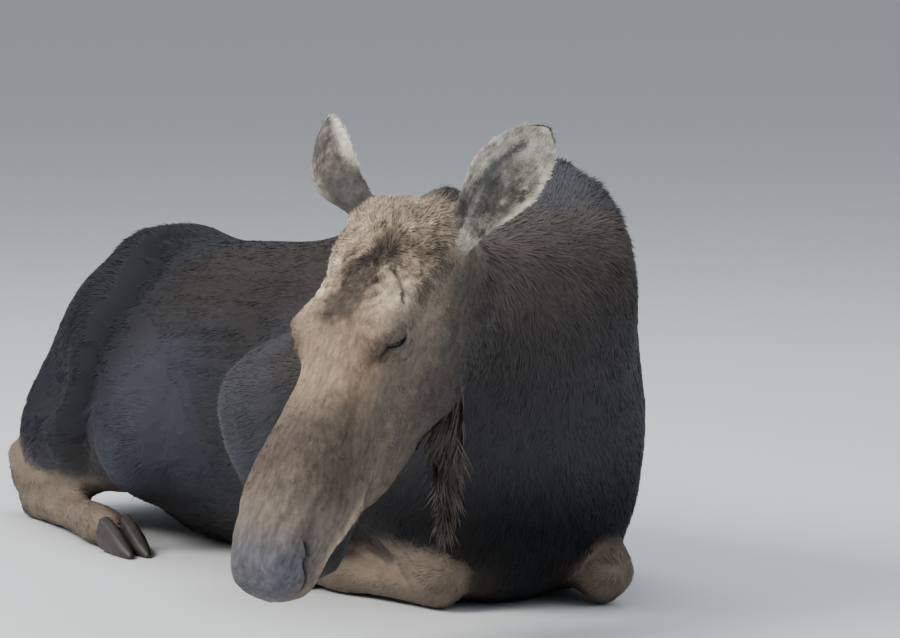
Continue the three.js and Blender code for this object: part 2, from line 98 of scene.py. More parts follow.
lamp("window_left", away * 0.55 - sideways * 1.2 + Vector((0, 0, 1.2)), 5.5, 3.0, 440, (1.0, 0.96, 0.9))
lamp("window_right", away * 0.7 + sideways * 1.0 + Vector((0, 0, 0.9)), 6.5, 4.5, 135, (0.92, 0.96, 1.0))
lamp("overhead", away * -0.35 + Vector((0, 0, 1.0)), 5.0, 4.0, 170, (0.9, 0.96, 1.0))

# ---- Skin ----
# One hide over the whole animal, from the muzzle to the tail, with the ears, the bell and the
# folded legs. It lies under the coat by the coat's own depth, and carries the coat's colours.
flesh = ["trunk", "neck", "head", "lower_jaw", "ear_left", "ear_right", "bell", "tail",
         "foreleg_left", "foreleg_right", "hindleg_left", "hindleg_right"]
regions = ["trunk", "neck", "face", "ear", "bell", "tail", "leg"]
region_of = {"lower_jaw": "face", "head": "face", "eye_left": "face", "eye_right": "face",
             "ear_left": "ear", "ear_right": "ear"}
remesh_size = 0.0048
hide_faces = 150000


def node_mesh(names):
    spots, faces, owner = [], [], []
    for name in names:
        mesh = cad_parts[name].data
        xyz = np.zeros(len(mesh.vertices) * 3)
        mesh.vertices.foreach_get("co", xyz)
        corners = np.zeros(len(mesh.loops), int)
        mesh.loops.foreach_get("vertex_index", corners)
        faces.append(corners.reshape(-1, 3) + sum(len(s) for s in spots))
        spots.append(xyz.reshape(-1, 3))
        group = region_of.get(name, "leg" if "leg" in name else name)
        owner += [regions.index(group)] * len(faces[-1])
    return np.concatenate(spots), np.concatenate(faces), np.array(owner)


def mesh_from(name, spots, faces):
    mesh = bpy.data.meshes.new(name)
    mesh.vertices.add(len(spots))
    mesh.vertices.foreach_set("co", np.asarray(spots, np.float32).ravel())
    mesh.loops.add(faces.size)
    mesh.loops.foreach_set("vertex_index", np.asarray(faces, np.int32).ravel())
    mesh.polygons.add(len(faces))
    mesh.polygons.foreach_set("loop_start", np.arange(0, faces.size, faces.shape[1], dtype=np.int32))
    mesh.update(calc_edges=True)
    mesh.polygons.foreach_set("use_smooth", np.ones(len(faces), bool))
    return mesh


def place(name, mesh):
    piece = bpy.data.objects.new(name, mesh)
    bpy.context.scene.collection.objects.link(piece)
    return piece


def settled(piece):
    """The piece's mesh with its modifiers worked in, and the modifiers gone."""
    bpy.context.view_layer.update()
    made = bpy.data.meshes.new_from_object(piece.evaluated_get(bpy.context.evaluated_depsgraph_get()))
    piece.modifiers.clear()
    piece.data = made
    return made


def points_of(mesh):
    xyz = np.zeros(len(mesh.vertices) * 3)
    mesh.vertices.foreach_get("co", xyz)
    return xyz.reshape(-1, 3)


def edges_of(mesh):
    ends = np.zeros(len(mesh.edges) * 2, int)
    mesh.edges.foreach_get("vertices", ends)
    return ends.reshape(-1, 2)


def normals_of(mesh):
    n = np.zeros(len(mesh.vertices) * 3)
    mesh.vertices.foreach_get("normal", n)
    return n.reshape(-1, 3)


def neighbour_mean(values, ends):
    count = np.bincount(ends.ravel(), minlength=len(values))
    out = np.empty_like(values)
    for c in range(values.shape[1]):
        a = np.bincount(ends[:, 0], values[ends[:, 1], c], len(values))
        b = np.bincount(ends[:, 1], values[ends[:, 0], c], len(values))
        out[:, c] = (a + b) / np.maximum(count, 1)
    return out


def step(value, start, end):
    t = np.clip((value - start) / (end - start), 0, 1)
    return t * t * (3 - 2 * t)


def bump(value, centre, width):
    return np.exp(-((value - centre) / width) ** 2)


def speckle(spots, size, seed=0):
    """Smooth noise from -1 to 1 with features of about that size."""
    q = np.asarray(spots) / size + seed * 17.31
    base = np.floor(q).astype(np.int64)
    t = q - base
    t = t * t * (3 - 2 * t)
    total = np.zeros(len(q))
    for i in (0, 1):
        for j in (0, 1):
            for k in (0, 1):
                cell = base + (i, j, k)
                mixed = (cell[:, 0] * 73856093) ^ (cell[:, 1] * 19349663) ^ (cell[:, 2] * 83492791)
                mixed ^= seed * 2654435
                mixed = (mixed ^ (mixed >> 13)) * 1274126177
                value = ((mixed ^ (mixed >> 16)) & 0xFFFF) / 32767.5 - 1
                weight = np.where(i, t[:, 0], 1 - t[:, 0]) * np.where(j, t[:, 1], 1 - t[:, 1])
                total += value * weight * np.where(k, t[:, 2], 1 - t[:, 2])
    return total


# The head's own directions: down the face, out of the face, and to its left.
face_turn, face_drop = math.radians(-66.4), math.radians(28.2)
eye_centre = {m: (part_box(n)[0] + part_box(n)[1]) / 2 for n, m in (("eye_left", 1), ("eye_right", -1))}
face_left = (eye_centre[1] - eye_centre[-1]).normalized()
face_down = Vector((math.cos(face_turn) * math.sin(face_drop), math.sin(face_turn) * math.sin(face_drop),
                    -math.cos(face_drop)))
face_out = face_down.cross(face_left).normalized()
crown = (eye_centre[1] + eye_centre[-1]) / 2 - face_down * 0.267 - face_out * 0.013


def on_head(spots):
    q = np.asarray(spots) - np.array(crown)
    return q @ np.array(face_down), q @ np.array(face_out), q @ np.array(face_left)


cad_spots, cad_faces, cad_owner = node_mesh(flesh + ["eye_left", "eye_right"])
cad_tree = BVHTree.FromPolygons(cad_spots.tolist(), cad_faces.tolist())
hide = place("hide", mesh_from("hide", cad_spots, cad_faces))
wrap = hide.modifiers.new("wrap", "REMESH")
wrap.mode = "VOXEL"
wrap.voxel_size = remesh_size
settled(hide)


def region_weights(spots, ends, passes):
    weight = np.zeros((len(spots), len(regions)))
    for i, p in enumerate(spots.tolist()):
        weight[i, cad_owner[cad_tree.find_nearest(p)[2]]] = 1
    for _ in range(passes):
        weight = 0.4 * weight + 0.6 * neighbour_mean(weight, ends)
    return dict(zip(regions, weight.T))


spots, ends = points_of(hide.data), edges_of(hide.data)
part = region_weights(spots, ends, 6)
broad = np.clip(part["trunk"] + part["neck"], 0, 1)
slack = 0.5 * np.clip(broad + 0.9 * part["leg"] + 0.6 * part["face"] + 0.25 * part["ear"]
                      + 0.5 * part["bell"] + 0.5 * part["tail"], 0, 1)
s, v, _ = on_head(spots)
chin = part["face"] * step(-v, 0.035, 0.055) * step(s, 0.45, 0.52)
limbs = np.clip(broad + 0.6 * part["leg"] + chin, 0, 1)
passes_everywhere, passes_on_limbs, passes_on_body = 14, 20, 76
for free, passes in ((1.0, passes_everywhere), (limbs, passes_on_limbs), (broad, passes_on_body)):
    for _ in range(passes):
        spots += (neighbour_mean(spots, ends) - spots) * (slack * free)[:, None]
hide.data.vertices.foreach_set("co", spots.ravel())
hide.data.update()

# The body's part of the hide needs fewer faces than the head's.
fine = hide.vertex_groups.new(name="fine")
keep_fine = np.clip(part["face"] + part["ear"] + 0.35 * part["leg"] + 0.4 * part["bell"], 0, 1)
for level in range(1, 6):
    chosen = np.nonzero(np.round(keep_fine * 5) == level)[0]
    fine.add(chosen.tolist(), level / 5, "REPLACE")
thin = hide.modifiers.new("thin", "DECIMATE")
thin.ratio = min(1.0, hide_faces / (2 * len(hide.data.polygons)))
thin.vertex_group = "fine"
thin.invert_vertex_group = True
thin.vertex_group_factor = 12.0
settled(hide)

spots, ends = points_of(hide.data), edges_of(hide.data)
hide.vertex_groups.clear()
part = region_weights(spots, ends, 4)

# The hide goes in from the outline by the depth of the coat on each part of the body.
hs, hv, hu = on_head(spots)
back_and_hump = part["neck"] + part["trunk"] * step(spots[:, 0], 0.0, 0.35) * step(spots[:, 2], 0.45, 0.62)
coat_depth = (0.0045 * part["trunk"] + 0.0060 * part["neck"] + 0.0025 * part["face"] + 0.0030 * part["ear"]
              + 0.010 * part["bell"] + 0.008 * part["tail"] + 0.0035 * part["leg"] + 0.0040 * back_and_hump)
sunk = np.array([cad_tree.find_nearest(p)[3] for p in spots.tolist()])
inward = (coat_depth - sunk)[:, None]
for _ in range(25):
    inward = 0.3 * inward + 0.7 * neighbour_mean(inward, ends)
spots -= normals_of(hide.data) * inward
hide.data.vertices.foreach_set("co", spots.ravel())
hide.data.update()

# Close to the eyes, nostrils and lips the hide is cut finer before its folds are made.
eye_out, eye_long, nostril_at = {}, {}, {}
for m in (1, -1):
    eye_out[m] = (face_left * m * 0.94 + face_out * 0.3 + face_down * 0.02).normalized()
    slit = face_down * 0.73 + face_out * 0.68
    eye_long[m] = (slit - eye_out[m] * slit.dot(eye_out[m])).normalized()
    nostril_at[m] = crown + face_down * 0.651 + face_out * 0.025 + face_left * m * 0.069


def refine(mesh, near):
    work = bmesh.new()
    work.from_mesh(mesh)
    flags = near(points_of(mesh))
    edges = [e for e in work.edges if flags[e.verts[0].index] and flags[e.verts[1].index]]
    bmesh.ops.subdivide_edges(work, edges=edges, cuts=1, use_grid_fill=True)
    bmesh.ops.triangulate(work, faces=[f for f in work.faces if len(f.verts) > 3])
    work.to_mesh(mesh)
    work.free()
    mesh.update()


def around(centres, reach):
    def near(spots):
        return np.min([np.linalg.norm(spots - np.array(c), axis=1) for c in centres], axis=0) < reach
    return near


def lip_height(s):
    return -0.042 + 0.27 * (s - 0.545) - 0.03 * step(s, 0.615, 0.70)


def near_lips(spots):
    s, v, u = on_head(spots)
    return (s > 0.47) & (s < 0.74) & (np.abs(v - lip_height(s)) < 0.016) & (np.abs(u) < 0.12)


eye_fronts = [eye_centre[m] + eye_out[m] * 0.018 for m in (1, -1)]
nostrils = list(nostril_at.values())
refine(hide.data, around(eye_fronts + nostrils, 0.040))
refine(hide.data, around(eye_fronts, 0.027))
refine(hide.data, near_lips)
refine(hide.data, around(nostrils, 0.052))

spots, ends = points_of(hide.data), edges_of(hide.data)
near_feature = around(list(eye_centre.values()) + nostrils, 0.055)(spots) | near_lips(spots)
for _ in range(8):
    spots += (neighbour_mean(spots, ends) - spots) * (0.5 * near_feature)[:, None]
off_nostril = np.min([np.linalg.norm(spots - np.array(c), axis=1) for c in nostrils], axis=0)
by_nostril = 1 - step(off_nostril, 0.030, 0.055)
for _ in range(150):
    spots += (neighbour_mean(spots, ends) - spots) * (0.5 * by_nostril)[:, None]
part = region_weights(spots, ends, 4)
hs, hv, hu = on_head(spots)
push = np.zeros_like(spots)
outward = normals_of(hide.data)


def ridge(height):
    global push
    push = push + outward * (height * part["face"])[:, None]


side_of = np.abs(hu)
# hollow beside the nose bone, cheek bone, temple, whorl of the forehead, bony poll
ridge(-0.006 * bump(hs, 0.40, 0.10) * bump(hv, 0.012, 0.026) * step(side_of, 0.03, 0.06))
ridge(0.004 * bump(hv + 0.35 * (hs - 0.3), -0.03, 0.018) * step(hs, 0.26, 0.32)
      * (1 - step(hs, 0.42, 0.52)) * step(side_of, 0.05, 0.07))
ridge(-0.005 * bump(hs, 0.175, 0.04) * bump(hv, -0.03, 0.03) * step(side_of, 0.07, 0.095))
ridge(-0.007 * bump(hs, 0.128, 0.011) * bump(hu, 0.030, 0.009) * step(hv, 0.0, 0.02))
ridge(0.005 * bump(hs, 0.06, 0.05) * bump(hu, 0.0, 0.05) * step(hv, -0.05, 0.0))
# soft unevenness everywhere, and a ruffled forehead
ridge(0.0012 * speckle(spots, 0.030, 3) + 0.0006 * speckle(spots, 0.012, 4))
rough_brow = bump(hs, 0.12, 0.09) * step(hv, -0.04, 0.015)
ridge(rough_brow * (0.0040 * speckle(spots, 0.017, 5) + 0.0022 * speckle(spots, 0.009, 6)))


def along_line(spots, line):
    """Distance of each spot from a line through a few points."""
    nearest = np.full(len(spots), 9.0)
    for start, end in zip(line[:-1], line[1:]):
        start, end = np.array(start), np.array(end)
        t = np.clip((spots - start) @ (end - start) / np.dot(end - start, end - start), 0, 1)
        nearest = np.minimum(nearest, np.linalg.norm(spots - start - t[:, None] * (end - start), axis=1))
    return nearest


def head_line(*stops):
    return [tuple(crown + face_down * a + face_out * b + face_left * c) for a, b, c in stops]


# a dark streak between the brows, and over each eye a pale welt of skin with a crease behind it
dark_brow = head_line((0.100, 0.030, 0.050), (0.126, 0.036, 0.032), (0.165, 0.045, 0.014),
                      (0.215, 0.052, -0.006))
brow_welt = {m: head_line((0.148, 0.030, 0.046 * m), (0.165, 0.024, 0.068 * m), (0.182, 0.018, 0.081 * m),
                          (0.205, 0.016, 0.088 * m)) for m in (1, -1)}
brow_crease = {m: head_line((0.150, 0.028, 0.062 * m), (0.160, 0.022, 0.075 * m), (0.176, 0.018, 0.083 * m),
                            (0.198, 0.016, 0.091 * m)) for m in (1, -1)}
for m in (1, -1):
    ridge(0.0035 * bump(along_line(spots, brow_welt[m]), 0, 0.008))
    ridge(-0.0042 * bump(along_line(spots, brow_crease[m]), 0, 0.0045))

# lips: the upper one hangs over the mouth's slit, the lower one is drawn in under it
mouth_slit = lip_height(hs)
along_lips = step(hs, 0.500, 0.530) * (1 - step(hs, 0.665, 0.70))
ridge(-0.0090 * bump(hv, mouth_slit - 0.001, 0.0045) * along_lips)
ridge(0.0045 * bump(hv, mouth_slit + 0.011, 0.008) * along_lips)
ridge(-0.0050 * bump(hv, mouth_slit - 0.013, 0.010) * along_lips)

# nostrils: a long slit, open at its top end, with a raised rim on the inner side
nostril_shade = np.zeros(len(spots))
for m in (1, -1):
    q = spots - np.array(nostril_at[m])
    a = q @ np.array((face_down * 0.93 - face_out * 0.37).normalized())
    b = q @ np.array((face_down * 0.37 + face_out * 0.93).normalized()) + 0.0007 + 0.26 * a - 2.2 * a * a
    near = (hu * m > 0.02)
    wide = 0.0025 + 0.0012 * step(-a, -0.004, 0.026)
    slit_depth = (1 - step(np.abs(a), 0.030, 0.046)) * np.exp(-(b / wide) ** 2) * near
    push -= np.array(face_left * m)[None, :] * (0.007 * slit_depth)[:, None]
    ridge(0.0030 * bump(a, 0.0, 0.036) * bump(b, 0.010, 0.006) * near)
    ridge(0.0016 * bump(a, 0.004, 0.034) * bump(b, -0.009, 0.006) * near)
    # painted shade inside the nostril's slit
    nostril_shade = np.maximum(nostril_shade, np.clip(1.2 * slit_depth, 0, 1))
spots = spots + push

# eyelids: they lie over the ball and leave a narrow slit, with a fold above and the tear's groove in front
lid_dark_and_lash_shade = np.zeros(len(spots))
ball = 0.019
for m in (1, -1):
    centre, out_way, long_way = (np.array(x) for x in (eye_centre[m], eye_out[m], eye_long[m]))
    up_way = -np.cross(out_way, long_way) * m
    q = spots - centre
    a, b, c = q @ long_way, q @ up_way, q @ out_way
    r = np.hypot(a, b)
    near = (c > -0.004) & (r < 0.050)
    lid = ball + 0.0012 * (1 + bump(b, 0.004, 0.008))
    over = np.sqrt(np.clip(lid ** 2 - r ** 2, 0, None))
    mingle = 0.010
    c_was = c
    c = c + 0.0085 * bump(r, 0.010, 0.036) * step(c, -0.012, 0.0) * (1.0 if m > 0 else 0.6)
    meet = np.clip(mingle - np.abs(over - c), 0, None) / mingle
    lifted = np.where(near & (r < 0.040), np.maximum(over, c) + meet * meet * mingle / 4, c)
    sag = b - 7.0 * a * a + 0.0014
    half_open = 0.0034 * np.clip(1 - (a / 0.0200) ** 2, 0, 1)
    gap = 1 - step(np.abs(sag), half_open * 0.75, half_open * 0.75 + 0.0016)
    gap *= (np.abs(a) < 0.0200) & near & (r < 0.023)
    lifted = lifted * (1 - gap) + 0.0135 * gap
    fold = 0.0018 * bump(b + 8 * a * a, 0.0135, 0.0030) * bump(a, 0, 0.018) * near
    upper_rim = 0.0014 * bump(sag, half_open + 0.0030, 0.0020) * (np.abs(a) < 0.021) * near
    lower_fold = 0.0016 * bump(b - 14 * a * a, -0.0110, 0.0025) * bump(a, 0, 0.018) * near
    brow = 0.0045 * bump(b, 0.024, 0.010) * bump(a, -0.004, 0.024) * near
    tear = bump(b + 0.75 * (a - 0.018), 0, 0.0036) * near
    tear *= step(a, 0.014, 0.020) * (1 - step(a, 0.034, 0.046))
    lifted = lifted - fold - lower_fold - 0.0045 * tear + brow + upper_rim * (1 - gap)
    spots = spots + out_way[None, :] * (lifted - c_was)[:, None]
    # the lids' own dark skin and lashes, with painted shade of the lashes over the slit and painted shade on
    # the hide deep in the slit; the tear's groove is darkened too
    rim = bump(sag, 0, 0.0064) * (1 - step(np.abs(a), 0.019, 0.028)) * near
    lid_dark_and_lash_shade = np.maximum(lid_dark_and_lash_shade, np.maximum(rim, gap))
    lid_dark_and_lash_shade = np.maximum(lid_dark_and_lash_shade, 0.8 * tear)

# folds of the body: one runs from the hip down behind the thigh, one lies behind each elbow
folds = [([(-0.66, 0.10, 0.54), (-0.57, -0.01, 0.465), (-0.531, -0.13, 0.346), (-0.519, -0.15, 0.305),
           (-0.522, -0.158, 0.18)], 0.036, 0.022),
         ([(-0.66, 0.25, 0.54), (-0.57, 0.37, 0.465), (-0.531, 0.48, 0.346), (-0.519, 0.505, 0.305),
           (-0.522, 0.512, 0.18)], 0.036, 0.016),
         ([(0.06, -0.11, 0.42), (0.00, -0.14, 0.36), (-0.01, -0.14, 0.26), (0.00, -0.14, 0.15)],
          0.040, 0.012)]
# the grooves' weight, kept for the painted shade in the folds
painted_fold_shade = np.zeros(len(spots))
soft_flesh = np.clip(part["trunk"] + part["leg"], 0, 1)
for line, wide, deep in folds:
    groove = bump(along_line(spots, line), 0, wide) * soft_flesh
    spots = spots - outward * (deep * groove)[:, None]
    painted_fold_shade = np.maximum(painted_fold_shade, groove)

# the elbows stand out as broad rounds, with a shallow valley behind and over each
elbow_at = {-1: (0.140, -0.084, 0.300), 1: (0.255, 0.400, 0.205)}
for m in (1, -1):
    q = spots - np.array(elbow_at[m])
    r = np.linalg.norm(q, axis=1)
    behind = step(q[:, 2] * 0.75 - q[:, 0] * 0.65, -0.03, 0.05)
    valley = bump(r, 0.155, 0.028) * behind * part["trunk"]
    spots = spots + outward * (0.006 * bump(r, 0.100, 0.034) * part["trunk"] - 0.007 * valley)[:, None]
    # painted shade in the valley behind each elbow
    painted_fold_shade = np.maximum(painted_fold_shade, 0.35 * valley)
spots = spots + outward * ((0.004 * speckle(spots, 0.11, 7) + 0.002 * speckle(spots, 0.05, 8))
                           * np.clip(part["trunk"] + part["neck"], 0, 1))[:, None]
spots[:, 2] = np.maximum(spots[:, 2], 0.004)
hide.data.vertices.foreach_set("co", spots.ravel())
hide.data.update()


# Colours of the coat, the same on the hide and on the hair that grows from it.
ear_root = {1: crown + face_down * 0.062 - face_out * 0.050 + face_left * 0.106,
            -1: crown + face_down * 0.028 - face_out * 0.022 - face_left * 0.066}
ear_tip = {1: crown - face_down * 0.126 + face_out * 0.002 + face_left * 0.264,
           -1: crown - face_down * 0.146 - face_out * 0.060 - face_left * 0.256}
ear_open = {1: Vector((0.9, -0.36, 0.05)), -1: Vector((-0.4, 0.91, 0.1))}
ear_half_width = 0.065
ear_outline = ((0, 0.14, 0.3, 0.5, 0.7, 0.86, 0.96, 1), (0.46, 0.56, 0.8, 1, 0.88, 0.6, 0.3, 0.09))


def ear_place(spots, normals):
    """Share of the way up the ear, share of the way out to its rim, and 1 on the hollow side."""
    up_share, rim_share, hollow = np.zeros((3, len(spots)))
    left = on_head(spots)[2] > 0
    for m, mine in ((1, left), (-1, ~left)):
        long_way = np.array(ear_tip[m] - ear_root[m])
        size = np.linalg.norm(long_way)
        long_way /= size
        open_way = np.array(ear_open[m])
        open_way = open_way - long_way * (open_way @ long_way)
        open_way /= np.linalg.norm(open_way)
        across = np.cross(long_way, open_way)
        q = spots - np.array(ear_root[m])
        t = np.clip(q @ long_way / size, 0, 1)
        half = ear_half_width * np.interp(t, *ear_outline)
        up_share = np.where(mine, t, up_share)
        rim_share = np.where(mine, (q @ across) / half, rim_share)
        hollow = np.where(mine, step(normals @ open_way, -0.1, 0.35), hollow)
    return up_share, rim_share, hollow


def blend(base, colour, amount):
    return base + (np.array(colour)[None, :] - base) * np.clip(amount, 0, 1)[:, None]


def coat_colour(spots, normals, part):
    x, _, z = spots.T
    s, v, u = on_head(spots)
    fore, side_on = step(x, 0.25, 0.5), step(np.abs(normals[:, 1]), 0.3, 0.8)
    # body: near black, darker still with painted shade at the breast and along the floor; browner along the
    # back; grey over the hump; a painted blue-grey sheen of the sky on the rump, the thigh and the elbows;
    # painted shade beside the hip's fold
    body = np.tile((0.0135, 0.0120, 0.0120), (len(spots), 1))
    back = step(normals[:, 2], 0.2, 0.75) * (1 - step(z, 0.62, 0.70)) * step(x, -0.50, -0.25)
    body = blend(body, (0.0205, 0.0136, 0.0105), back)
    flank = bump(z, 0.46, 0.09) * step(x, -0.45, -0.1) * (1 - fore)
    body = blend(body, (0.0125, 0.0108, 0.0110), flank * 0.7)
    # painted bluish sheen of the sky over the rump
    body = blend(body, (0.0104, 0.0110, 0.0155), (1 - step(x, -0.58, -0.40)) * 0.9)
    # painted blue-grey sheen of the sky on the thigh's side
    thigh = bump(x, -0.28, 0.165) * step(z, 0.04, 0.16) * (1 - step(z, 0.32, 0.50)) * side_on
    body = blend(body, (0.0260, 0.0305, 0.0420), 0.95 * thigh)
    # painted shade on both sides of the fold behind the thigh
    shade_beside_fold = bump(along_line(spots, folds[0][0]), 0, 0.075)
    body = blend(body, (0.0088, 0.0092, 0.0135), 1.3 * shade_beside_fold)
    for m in (1, -1):
        # painted blue-grey sheen on the round of each elbow
        elbow_sheen = bump(np.linalg.norm(spots - np.array(elbow_at[m]), axis=1), 0.05, 0.095) * step(z, 0.04, 0.18)
        body = blend(body, (0.072, 0.076, 0.096), elbow_sheen)
    body = blend(body, (0.021, 0.021, 0.025), fore * bump(z, 0.44, 0.12))
    body = blend(body, (0.0250, 0.0240, 0.0290), fore * (1 - step(z, 0.20, 0.42)))
    # low at the front: the breast's own dark hair, with painted shade
    body = blend(body, (0.0028, 0.0028, 0.0034), fore * (1 - step(z, 0.16, 0.30)))
    # painted shade along the floor at the bottom of the body
    body = blend(body, (0.0075, 0.0075, 0.0085), 1 - step(z, 0.02, 0.12))
    body = blend(body, (0.022, 0.021, 0.028), step(z, 0.56, 0.72) * step(x, -0.1, 0.3) * 0.9)
    body *= (1 + 0.12 * speckle(spots * (0.35, 1, 1), 0.012, 11) + 0.16 * speckle(spots, 0.06, 12))[:, None]
    # neck: a brown mane above, greyer towards the hump, nearly black at the breast with its own dark hair and
    # painted shade
    neck = np.tile((0.066, 0.057, 0.053), (len(spots), 1))
    mane = step(z, 0.48, 0.62) * (0.75 + 0.35 * speckle(spots, 0.03, 13))
    neck = blend(neck, (0.150, 0.118, 0.098), mane)
    neck = blend(neck, (0.067, 0.064, 0.072), 1 - step(z, 0.30, 0.48))
    # the breast's own dark hair, with painted shade
    neck = blend(neck, (0.0030, 0.0030, 0.0036), 1 - step(z, 0.16, 0.31))
    neck = blend(neck, (0.062, 0.058, 0.067), step(z, 0.64, 0.71) * step(-x, -0.66, -0.58))
    # face: pale forehead and bridge of the nose, a dark patch between the brows, cheeks dark with their
    # own hair and with painted shade, brown towards the muzzle, and a blue-grey end to it
    side = np.abs(u)
    face = np.tile((0.135, 0.108, 0.084), (len(spots), 1))
    front = step(v, -0.02, 0.03) * (1 - step(side, 0.070, 0.105))
    face = blend(face, (0.33, 0.243, 0.172), front * (1 - step(s, 0.30, 0.46)))
    face = blend(face, (0.245, 0.176, 0.122), front * step(s, 0.18, 0.25) * (1 - step(s, 0.34, 0.46)))
    pale_brow = bump(s, 0.16, 0.055) * bump(side, 0.075, 0.030) * step(v, -0.02, 0.01)
    face = blend(face, (0.56, 0.43, 0.31), pale_brow)
    face = blend(face, (0.084, 0.063, 0.050), step(s, 0.34, 0.46) * step(v, -0.06, 0.03))
    # the lower cheek darker: its own hair, partly painted shade
    low_cheek_and_shade = bump(s, 0.40, 0.07) * bump(v, -0.085, 0.05) * step(side, 0.05, 0.07)
    face = blend(face, (0.080, 0.062, 0.050), low_cheek_and_shade * 0.6)
    high_cheek = bump(s, 0.18, 0.07) * bump(v, -0.045, 0.045) * step(side, 0.08, 0.10)
    face = blend(face, (0.200, 0.156, 0.120), high_cheek * 0.8)
    patch = bump(along_line(spots, dark_brow) / (1 + 0.6 * step(s, 0.12, 0.18)), 0, 0.026)
    patch *= 1 + 0.4 * speckle(spots, 0.018, 22) + 0.3 * speckle(spots, 0.007, 25)
    face = blend(face, (0.052, 0.039, 0.030), np.clip(1.5 * patch, 0, 1) * 0.95)
    face = blend(face, (0.30, 0.235, 0.170), 1 - step(s, 0.05, 0.12))
    face = blend(face, (0.062, 0.055, 0.050), (1 - step(s, -0.006, 0.020)) * step(u, 0.030, 0.052))
    # the cheek's side darker: its own hair, partly painted shade
    cheek_dark_and_shade = step(side, 0.060, 0.105) * step(-v, 0.040, 0.100) * (1 - step(s, 0.40, 0.54))
    face = blend(face, (0.064, 0.054, 0.047), cheek_dark_and_shade * 0.9)
    # painted shade low on the cheek towards the jaw
    face = blend(face, (0.037, 0.032, 0.030), step(-v, 0.09, 0.20) * (1 - step(s, 0.42, 0.56)) * 0.9)
    face = blend(face, (0.150, 0.120, 0.097), step(s, 0.50, 0.60) * step(v, -0.05, -0.01))
    face = blend(face, (0.090, 0.090, 0.104), step(s, 0.585, 0.67) * step(v, -0.02, 0.04) * 0.95)
    for m in (1, -1):
        face = blend(face, (0.56, 0.46, 0.33), 0.9 * bump(along_line(spots, brow_welt[m]), 0, 0.009))
        # painted shade in the crease behind each brow's pale welt
        face = blend(face, (0.050, 0.038, 0.030), 1.3 * bump(along_line(spots, brow_crease[m]), 0, 0.0048))
        q = spots - np.array(eye_centre[m] + eye_long[m] * 0.026)
        face = blend(face, (0.085, 0.061, 0.046), 0.85 * bump(np.linalg.norm(q, axis=1), 0.008, 0.018))
    # a light edge to the upper lip, a lower lip and chin dark with their own colour and with painted shade,
    # and painted shade making the slit between them black
    lips, over_lip = step(s, 0.50, 0.53), v - lip_height(s)
    face = blend(face, (0.30, 0.235, 0.170), lips * bump(over_lip, 0.011, 0.008) * (1 - step(s, 0.60, 0.68)))
    face = blend(face, (0.024, 0.023, 0.025), lips * step(-over_lip, 0.002, 0.010) * step(s, 0.525, 0.56))
    face = blend(face, (0.010, 0.009, 0.009), lips * bump(over_lip, 0, 0.0045) * (1 - step(s, 0.665, 0.69)))
    ruffled = bump(s, 0.11, 0.10) * step(v, -0.06, 0.0)
    streak = speckle(np.stack([0.22 * s, v, u], 1), 0.0036, 24)
    face *= (1 + 0.36 * streak)[:, None]
    face *= (1 + (0.12 + 0.50 * ruffled) * speckle(spots, 0.010, 14)
             + (0.13 + 0.20 * ruffled) * speckle(spots, 0.004, 15)
             + 0.10 * speckle(spots, 0.045, 16))[:, None]
    # ears: ticked grey-brown backs, one with a pale strip, and a woolly hollow with painted shade deep in its
    # cup and a mottled outer half; pale rims, dark roots
    t, rim, hollow = ear_place(spots, normals)
    right_back = (u < 0) * (1 - hollow)
    ticks = (1 + 0.75 * speckle(spots, 0.006, 17))[:, None]
    ear = np.tile((0.120, 0.105, 0.090), (len(spots), 1)) * ticks
    smudge = np.clip(0.45 + 0.8 * speckle(spots, 0.011, 26) + 0.5 * speckle(spots, 0.004, 27), 0, 1)
    ear = blend(ear, (0.046, 0.038, 0.032), right_back * smudge * (1 - step(rim, 0.1, 0.8)))
    ear = blend(ear, (0.38, 0.34, 0.27), right_back * step(rim, 0.0, 0.7) * (0.85 - 0.6 * smudge))
    woolly = np.array((0.50, 0.470, 0.390)) * (1 + 0.45 * speckle(spots, 0.009, 20))[:, None]
    ear = ear + (woolly - ear) * hollow[:, None]
    ear_cup_shade = hollow * bump(rim, -0.34 + 0.5 * (t - 0.5), 0.13) * step(t, 0.22, 0.36) * (1 - step(t, 0.66, 0.86))
    ear = blend(ear, (0.135, 0.135, 0.130), np.clip(1.2 * ear_cup_shade, 0, 1))
    # more painted shade in the cup
    ear = blend(ear, (0.125, 0.126, 0.122), bump(t, 0.38, 0.10) * bump(rim, -0.24, 0.26) * hollow)
    mottle = hollow * step(rim, -0.35, -0.05) * (1 - step(rim, 0.72, 0.92))
    mottle *= step(t, 0.05, 0.12) * (1 - step(t, 0.40, 0.75))
    mottle *= 0.85 + 0.50 * speckle(spots, 0.011, 23) + 0.40 * speckle(spots, 0.004, 28)
    ear = blend(ear, (0.090, 0.084, 0.073), np.clip(mottle, 0, 0.95))
    ear = blend(ear, (0.58, 0.54, 0.44), step(np.abs(rim), 0.70, 0.94) * step(t, 0.1, 0.25))
    dark_root = (1 - step(t, 0.16, 0.42)) * np.clip(1 - hollow + step(-rim, 0.1, 0.5) * (u > 0), 0, 1)
    ear = blend(ear, (0.062, 0.057, 0.052), dark_root * 0.95)
    ear *= (1 + 0.35 * speckle(spots, 0.008, 29) + 0.30 * speckle(spots, 0.0035, 30))[:, None]
